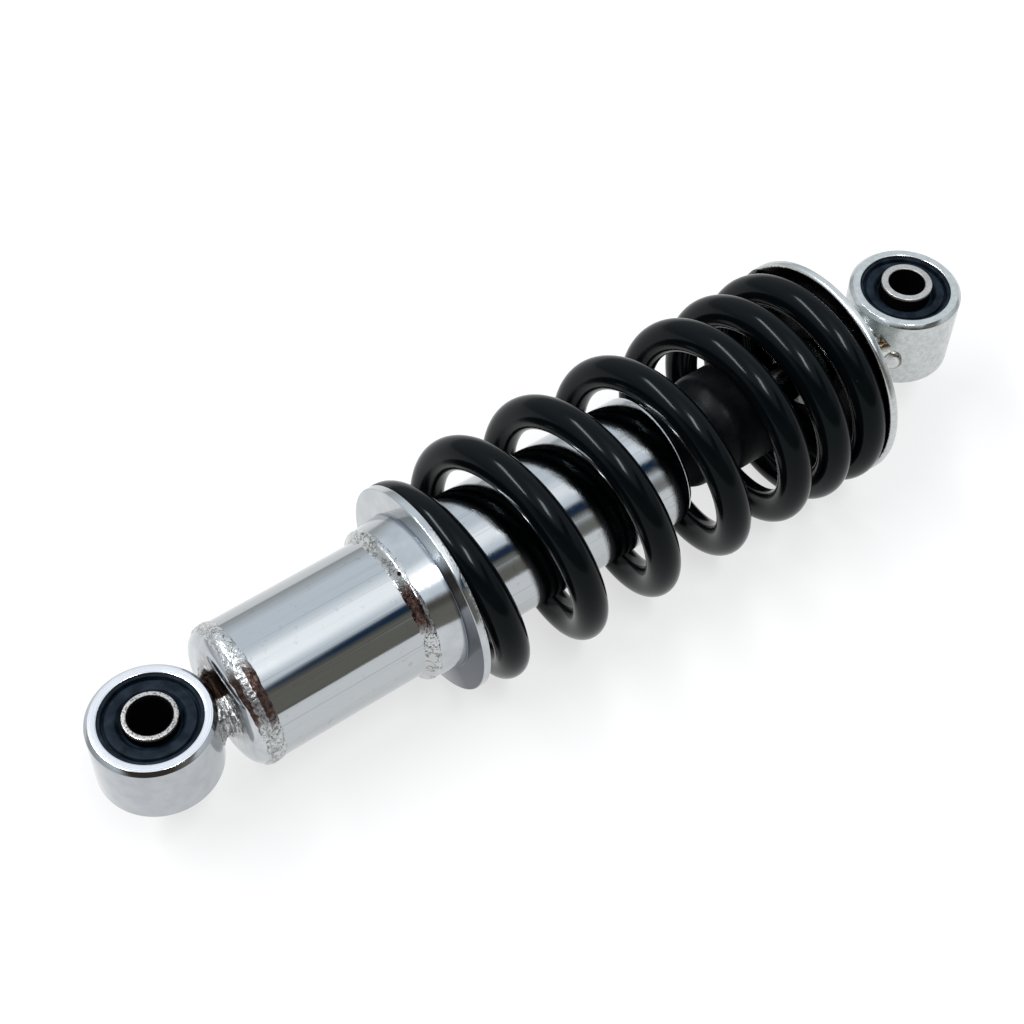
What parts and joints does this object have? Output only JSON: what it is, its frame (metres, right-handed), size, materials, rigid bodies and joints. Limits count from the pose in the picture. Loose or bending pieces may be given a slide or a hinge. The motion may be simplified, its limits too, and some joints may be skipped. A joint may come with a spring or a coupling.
{
  "type": "rear shock absorber",
  "caption": "Motorcycle rear shock: a black coil spring over a chromed twin-tube oil damper, with a rubber-bushed eye at each end for a cross bolt.",
  "frame": {"origin": "the middle of the lower eye's bolt bore", "axes": "+X along the shock from the lower eye to the upper eye, +Z along the bolt bores; the shock is fully extended"},
  "size_m": [0.2824, 0.0668, 0.067],
  "materials": {
    "chrome_plate": "bright chrome plate, mirror on the tube, satin on the pressed and machined pieces",
    "plated_weld": "rough weld bead under bright plate, with brown heat tint and pits",
    "zinc_plate": "dull silver zinc plate, grainy",
    "zinc_weld": "fillet weld under dull plate",
    "bare_steel": "turned or blasted steel, speckled",
    "rod_chrome": "hard chrome, ground smooth",
    "guide_aluminium": "turned aluminium",
    "bush_bronze": "sintered bronze",
    "black_paint": "high-gloss black powder coat with a little dust",
    "bush_rubber": "moulded blue-black rubber, satin",
    "seal_rubber": "smooth black nitrile",
    "bump_rubber": "moulded black rubber, dusty",
    "nylon": "moulded nylon"
  },
  "bodies": {
    "damper": {"lower_eye": "chrome_plate", "lower_bush": "bush_rubber", "lower_eye_weld": "plated_weld", "end_cap": "chrome_plate", "end_weld": "plated_weld", "damper_tube": "chrome_plate", "lower_spring_seat": "chrome_plate", "seat_weld": "plated_weld", "base_valve": "bare_steel", "base_valve_shims": "bare_steel", "base_valve_rivet": "bare_steel", "pressure_cylinder": "bare_steel", "rod_guide": "guide_aluminium", "guide_bush": "bush_bronze", "rod_seal": "seal_rubber", "seal_washer": "bare_steel", "bump_stop": "bump_rubber", "coil_spring": "black_paint"},
    "lower_sleeve": {"lower_sleeve": "bare_steel"},
    "upper_seat": {"upper_spring_seat": "zinc_plate"},
    "rod": {"piston_rod": "rod_chrome", "piston": "bare_steel", "piston_band": "nylon", "rebound_shims": "bare_steel", "compression_shims": "bare_steel", "rebound_stop": "nylon", "piston_nut": "bare_steel", "lock_nut": "zinc_plate", "upper_stub": "zinc_plate", "upper_weld_front": "zinc_weld", "upper_weld_back": "zinc_weld", "upper_eye": "zinc_plate", "upper_bush": "bush_rubber"},
    "upper_sleeve": {"upper_sleeve": "bare_steel"}
  },
  "joints": [
    {"name": "compression", "type": "slide", "parent": "damper", "child": "upper_seat", "axis": [-1, 0, 0], "range_m": [0, 0.036], "stiffness_N_per_m": 60000, "springref_m": -0.008, "deforming": ["coil_spring", "bump_stop"]},
    {"name": "rod_swivel", "type": "hinge", "parent": "upper_seat", "child": "rod", "pos_m": [0.2148, 0, 0], "axis": [1, 0, 0], "continuous": true},
    {"name": "lower_sleeve_twist", "type": "hinge", "parent": "damper", "child": "lower_sleeve", "pos_m": [0, 0, 0], "axis": [0, 0, 1], "range_deg": [-15, 15], "stiffness_Nm_per_rad": 12},
    {"name": "upper_sleeve_twist", "type": "hinge", "parent": "rod", "child": "upper_sleeve", "pos_m": [0.25, 0, 0], "axis": [0, 0, 1], "range_deg": [-15, 15], "stiffness_Nm_per_rad": 12}
  ]
}
